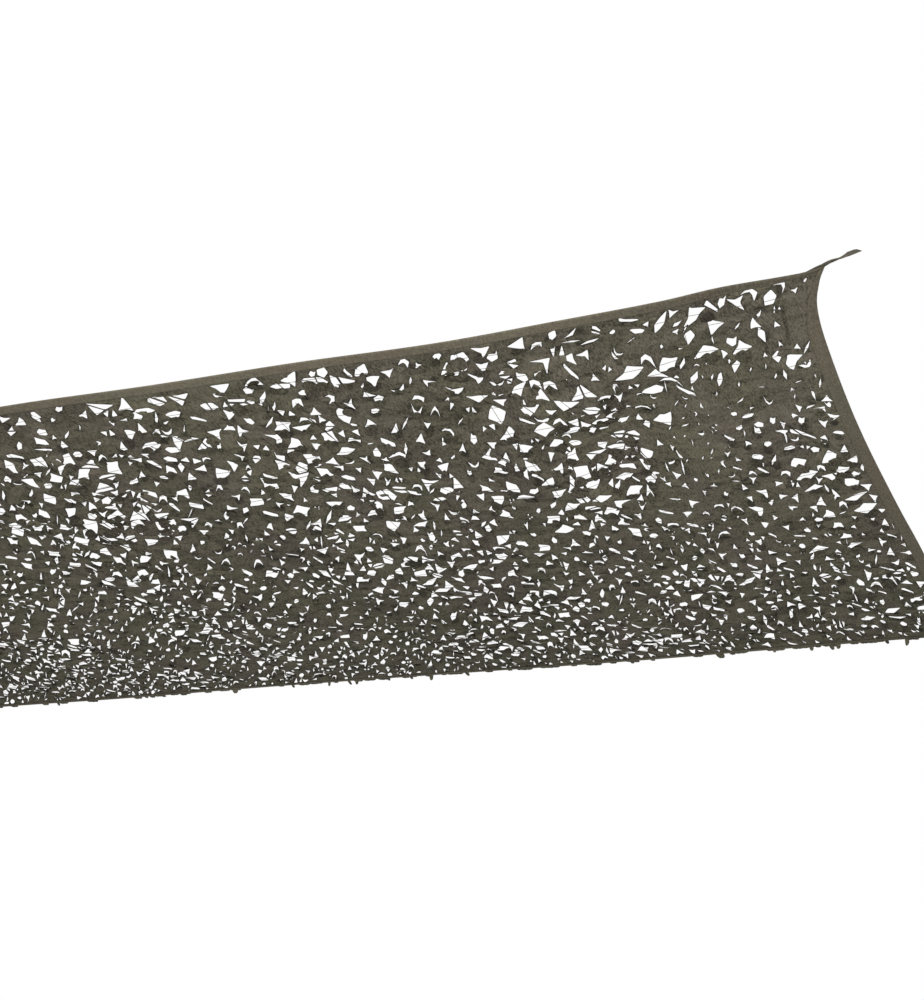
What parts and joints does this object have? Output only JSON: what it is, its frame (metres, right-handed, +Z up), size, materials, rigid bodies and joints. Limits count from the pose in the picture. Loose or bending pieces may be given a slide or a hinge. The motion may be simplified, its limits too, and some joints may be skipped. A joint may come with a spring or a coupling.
{
  "type": "leaf-cut net shade sail",
  "caption": "Rectangular shade sail of leaf-cut netting with folded binding on its edges and a webbing strap on each corner, stretched level.",
  "frame": {"origin": "tip of the near right corner's strap, where the sail is tied", "axes": "-X along the near long edge from its right end, +Y along the short side away from the near edge, +Z up, square to the level sail"},
  "size_m": [5.186, 3.1214, 0.0969],
  "materials": {
    "net_cloth": "matt brown-olive oxford cloth, cut into leaves",
    "binding_tape": "plain woven binding tape, a little lighter than the net",
    "strap_webbing": "narrow woven webbing"
  },
  "bodies": {
    "root": {"net": "net_cloth", "binding_near": "binding_tape", "binding_far": "binding_tape", "binding_right": "binding_tape", "binding_left": "binding_tape", "strap_near_right": "strap_webbing", "strap_near_left": "strap_webbing", "strap_far_right": "strap_webbing", "strap_far_left": "strap_webbing"}
  },
  "joints": []
}
